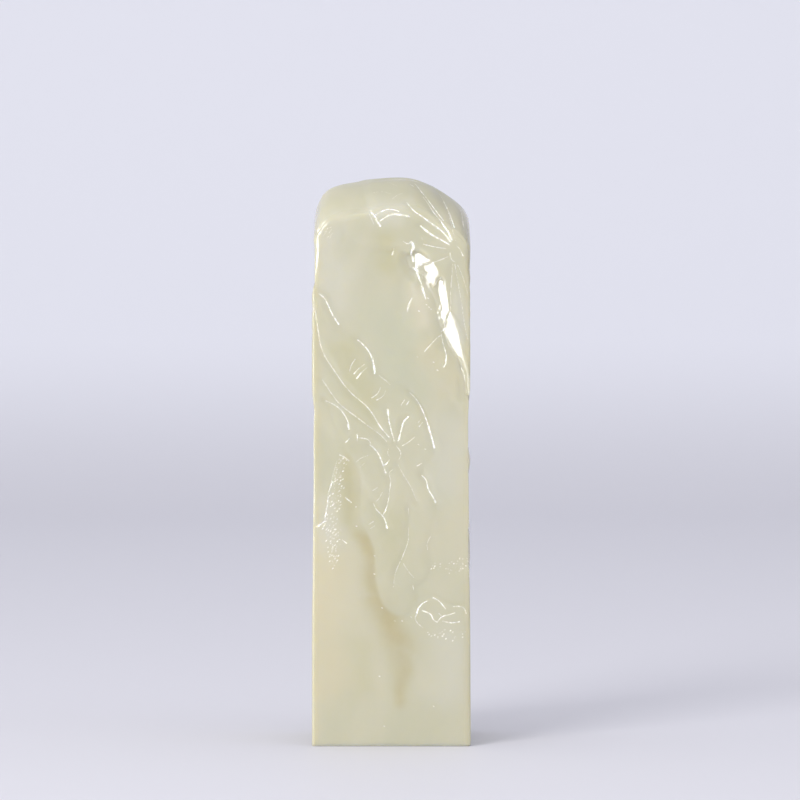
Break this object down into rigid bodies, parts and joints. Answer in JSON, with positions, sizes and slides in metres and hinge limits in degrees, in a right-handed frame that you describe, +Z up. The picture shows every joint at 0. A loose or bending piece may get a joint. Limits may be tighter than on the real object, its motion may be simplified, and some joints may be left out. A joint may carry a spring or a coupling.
{
  "type": "seal stamp",
  "caption": "Upright square block of carved soapstone with a domed crown, lotus leaves in thin relief and a flat blank seal face.",
  "frame": {"origin": "middle of the seal face, which is the stone's flat underside", "axes": "+Z up along the stone to the crown, front of the relief towards -Y"},
  "size_m": [0.025, 0.025, 0.09],
  "materials": {
    "stone": "polished pale green-yellow soapstone, slightly translucent"
  },
  "bodies": {
    "root": {"seal_stone": "stone"}
  },
  "joints": []
}
